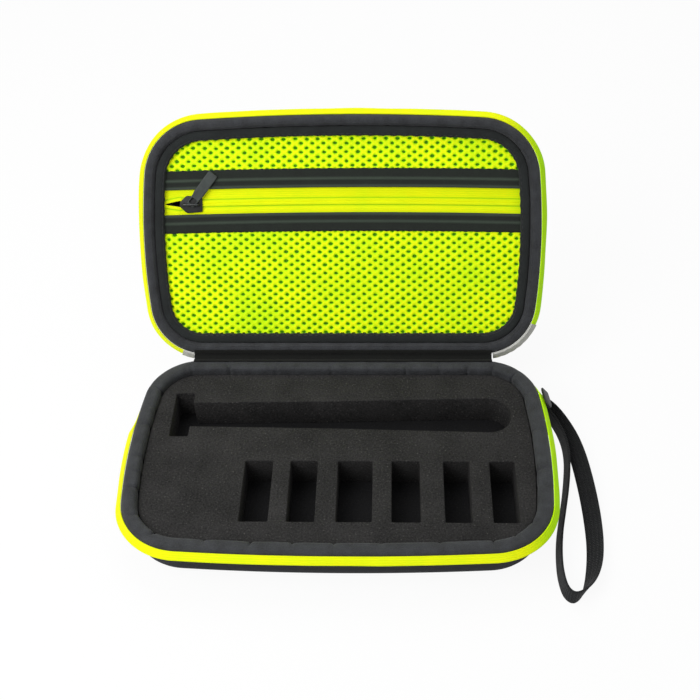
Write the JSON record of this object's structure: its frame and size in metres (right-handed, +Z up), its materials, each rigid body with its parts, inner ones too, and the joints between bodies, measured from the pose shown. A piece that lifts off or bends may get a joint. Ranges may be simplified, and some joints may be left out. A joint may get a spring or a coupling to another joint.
{
  "type": "shaver case",
  "caption": "Zipped hard case standing open, with a foam tray cut for a shaver and combs, a mesh pocket in the lid and a wrist strap.",
  "frame": {"origin": "centre of the base's flat underside", "axes": "+Z up, +Y from the front towards the hinge, +X to the right as seen from the front"},
  "size_m": [0.2551, 0.2367, 0.1436],
  "materials": {
    "shell_cloth": "matt black nylon cloth over moulded foam",
    "lining_cloth": "matt black knitted lining",
    "binding_cloth": "satin black stretch cloth, puckered where it is sewn",
    "neon_tape": "woven neon yellow-green zip tape",
    "zip_coil": "black nylon coil",
    "foam": "speckled charcoal closed-cell foam, matt",
    "foam_pad": "charcoal foam, matt",
    "hinge_cloth": "black woven cloth",
    "webbing": "black woven webbing",
    "grey_cloth": "grey woven cloth",
    "border_cloth": "satin black stretch cloth over a soft core",
    "edging_cloth": "black ribbed elastic",
    "neon_mesh": "neon yellow-green spacer mesh with a honeycomb of small holes",
    "zip_metal": "glossy black painted zinc",
    "pull_plastic": "matt black moulded pull"
  },
  "bodies": {
    "base": {"base_shell": "shell_cloth", "base_lining": "lining_cloth", "base_rim_binding": "binding_cloth", "base_zip_tape": "neon_tape", "base_zip_coil": "zip_coil", "foam_tray": "foam", "foam_floor_pad": "foam_pad", "hinge_outer_cloth": "hinge_cloth", "hinge_inner_cloth": "hinge_cloth", "strap_tab": "webbing", "wrist_strap": "webbing"},
    "lid": {"lid_shell": "shell_cloth", "lid_lining": "lining_cloth", "lid_rim_binding": "binding_cloth", "lid_zip_tape": "neon_tape", "lid_zip_coil": "zip_coil", "lid_zip_end_covers": "grey_cloth", "pocket_border": "border_cloth", "pocket_mesh_upper": "neon_mesh", "pocket_mesh_lower": "neon_mesh", "pocket_edging_upper": "edging_cloth", "pocket_edging_lower": "edging_cloth", "pocket_zip_tape_upper": "neon_tape", "pocket_zip_tape_lower": "neon_tape", "pocket_zip_coil_upper": "zip_coil", "pocket_zip_coil_lower": "zip_coil", "pocket_zip_stops": "zip_metal"},
    "pocket_slider": {"pocket_slider_body": "zip_metal", "pocket_slider_bail": "zip_metal"},
    "pocket_pull": {"pocket_pull_tab": "pull_plastic"},
    "main_slider": {"main_slider_body": "zip_metal", "main_slider_bail": "zip_metal"},
    "main_pull": {"main_pull_tab": "pull_plastic"}
  },
  "joints": [
    {"name": "lid_hinge", "type": "hinge", "parent": "base", "child": "lid", "pos_m": [0, 0.068, 0.031], "axis": [1, 0, 0], "range_deg": [0, 125], "deforming": ["hinge_outer_cloth", "hinge_inner_cloth"]},
    {"name": "pocket_zip_run", "type": "slide", "parent": "lid", "child": "pocket_slider", "axis": [1, 0, 0], "range_m": [0, 0.168]},
    {"name": "pocket_pull_swivel", "type": "hinge", "parent": "pocket_slider", "child": "pocket_pull", "pos_m": [-0.0856, 0.1218, 0.09897], "axis": [0, -0.8387, 0.5446], "range_deg": [0, 68]},
    {"name": "main_zip_run", "type": "hinge", "parent": "base", "child": "main_slider", "pos_m": [-0.241, 0, 0.0224], "axis": [0, 0, -1], "range_deg": [0, 10]},
    {"name": "main_pull_swivel", "type": "hinge", "parent": "main_slider", "child": "main_pull", "pos_m": [0.11414, 0.04141, 0.02242], "axis": [0.7933, 0.0925, 0.6018], "range_deg": [0, 15]}
  ]
}
